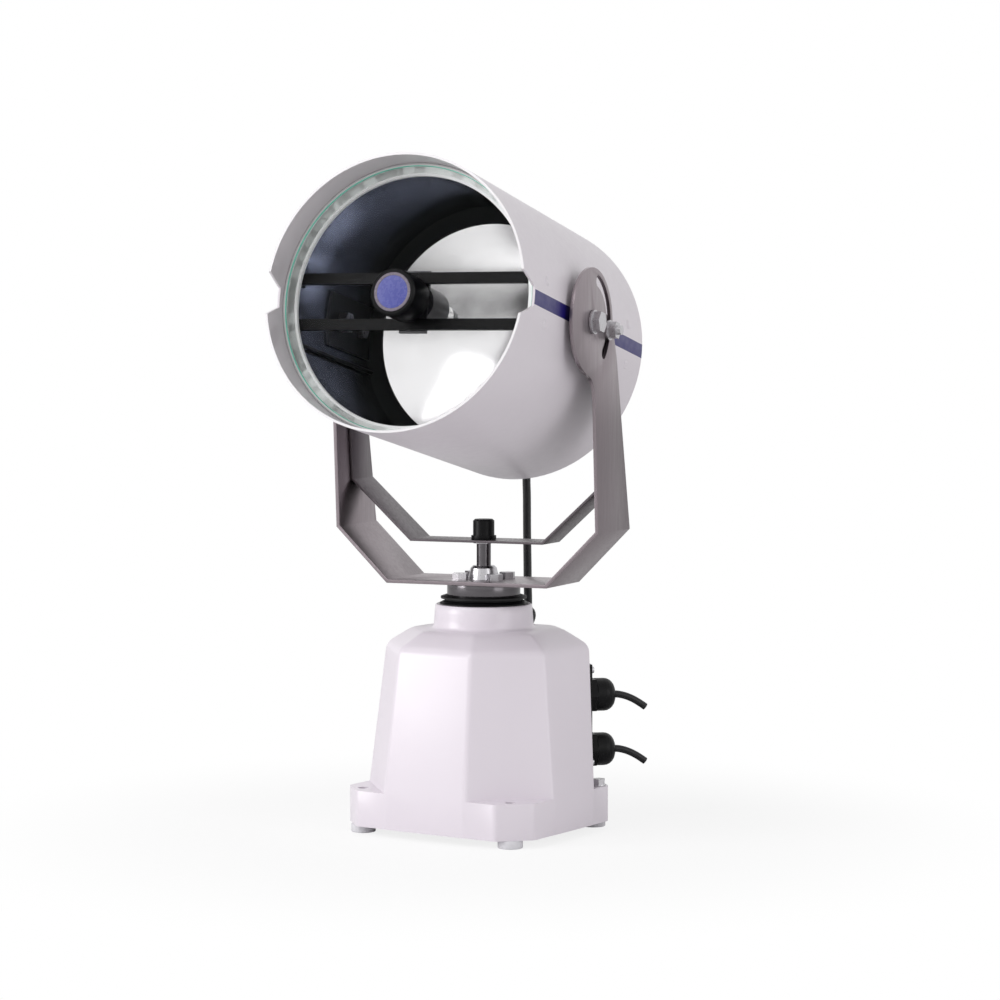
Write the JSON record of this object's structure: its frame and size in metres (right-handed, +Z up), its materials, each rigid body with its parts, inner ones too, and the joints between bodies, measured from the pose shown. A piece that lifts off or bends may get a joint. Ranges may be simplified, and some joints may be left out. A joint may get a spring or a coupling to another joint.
{
  "type": "marine searchlight",
  "caption": "Remote-controlled searchlight: drum lamp with front glass and central hub, pivoted in nested steel yokes on a cast drive base",
  "frame": {"origin": "middle of the four deck mounting holes, at the bottom of the feet", "axes": "+Z up from the deck, along the mounting bolts; -Y the way the light faces when panned to zero; +X to its starboard side"},
  "size_m": [0.272, 0.3899, 0.571],
  "materials": {
    "base_paint": "gloss white enamel on cast aluminium",
    "foot_nylon": "moulded white nylon",
    "black_rubber": "moulded black rubber",
    "zinc_steel": "plain stainless fastener finish",
    "gland_plastic": "black nylon, slight sheen",
    "cable_jacket": "smooth black cable jacket",
    "bearing_steel": "ground bearing steel",
    "motor_grey": "dark grey paint",
    "terminal_plastic": "ivory moulding",
    "bronze": "machined bronze",
    "rotor_chrome": "polished stainless",
    "yoke_stainless": "satin stainless sheet",
    "drum_paint": "satin light grey paint",
    "seat_white": "white paint",
    "seal_grey": "clear grey silicone",
    "front_glass": "clear float glass, green edge",
    "bar_black": "black anodised aluminium",
    "socket_dark": "dark plated steel",
    "lamp_glass": "quartz bulb",
    "badge_blue": "plain blue disc, left bare",
    "reflector_mirror": "polished reflector"
  },
  "bodies": {
    "base": {"base_housing": "base_paint", "mounting_feet": "foot_nylon", "bottom_gasket": "black_rubber", "bottom_cover": "zinc_steel", "bottom_screws": "zinc_steel", "gland_plate": "gland_plastic", "gland_plate_screws": "zinc_steel", "gland_bodies": "gland_plastic", "gland_nuts": "gland_plastic", "supply_cable": "cable_jacket", "control_cable": "cable_jacket", "entry_gland": "gland_plastic", "earth_stud": "zinc_steel", "neck_bearings": "bearing_steel", "drive_plate": "zinc_steel", "drive_plate_screws": "zinc_steel", "pan_motor": "motor_grey", "tilt_motor": "motor_grey", "guide_post": "zinc_steel", "terminal_block": "terminal_plastic", "entry_cable": "cable_jacket"},
    "yoke": {"rotor_shaft": "rotor_chrome", "neck_seal": "black_rubber", "pan_gear": "bronze", "rod_bushes": "bronze", "outer_yoke": "yoke_stainless", "yoke_bolts": "zinc_steel", "rod_gland_nut": "zinc_steel", "head_cable": "cable_jacket"},
    "drum": {"drum_shell": "drum_paint", "glass_seat": "seat_white", "glass_seal": "seal_grey", "front_glass": "front_glass", "glass_retainer": "zinc_steel", "lamp_bars": "bar_black", "lamp_socket": "socket_dark", "lamp": "lamp_glass", "hub_seal": "black_rubber", "lamp_hub": "bar_black", "hub_badge": "badge_blue", "reflector": "reflector_mirror", "reflector_ring": "black_rubber", "reflector_brackets": "socket_dark", "backing_plates": "socket_dark", "drum_rivets": "zinc_steel", "rear_ring": "drum_paint", "rear_cover": "drum_paint", "rear_cover_screws": "zinc_steel", "pivot_bolts": "zinc_steel", "pivot_spacers": "zinc_steel", "guide_bolts": "zinc_steel", "head_gland": "gland_plastic"},
    "lift": {"lift_rod": "rotor_chrome", "rod_collars": "bearing_steel", "rod_washer": "zinc_steel", "inner_yoke": "yoke_stainless", "rod_cap": "gland_plastic"},
    "pinion": {"pan_pinion": "bronze"},
    "screw": {"lead_screw": "zinc_steel"},
    "carriage": {"lift_carriage": "bronze"}
  },
  "joints": [
    {"name": "pan", "type": "hinge", "parent": "base", "child": "yoke", "pos_m": [0, 0.0075, 0.2], "axis": [0, 0, 1], "range_deg": [-90, 90], "deforming": ["entry_cable"]},
    {"name": "tilt", "type": "hinge", "parent": "yoke", "child": "drum", "pos_m": [0.0092, -0.04469, 0.435], "axis": [-0.9848, -0.1736, 0], "range_deg": [-25, 15], "deforming": ["head_cable"]},
    {"name": "lift", "type": "slide", "parent": "yoke", "child": "lift", "axis": [0, 0, 1], "range_m": [-0.0096, 0.0158]},
    {"name": "pinion_turn", "type": "hinge", "parent": "base", "child": "pinion", "pos_m": [0, -0.04515, 0.13], "axis": [0, 0, 1], "range_deg": [-362, 362]},
    {"name": "carriage_slide", "type": "slide", "parent": "base", "child": "carriage", "axis": [0, 0, 1], "range_m": [-0.0096, 0.0158]},
    {"name": "screw_turn", "type": "hinge", "parent": "base", "child": "screw", "pos_m": [-0.045, 0.0075, 0.08], "axis": [0, 0, 1], "range_deg": [-415, 690]}
  ],
  "couplings": [
    {"joint": "pinion_turn", "follows": "pan", "ratio": -4},
    {"joint": "lift", "follows": "tilt", "m_per_rad": -0.035},
    {"joint": "carriage_slide", "follows": "tilt", "m_per_rad": -0.035},
    {"joint": "screw_turn", "follows": "tilt", "ratio": -27.489}
  ]
}
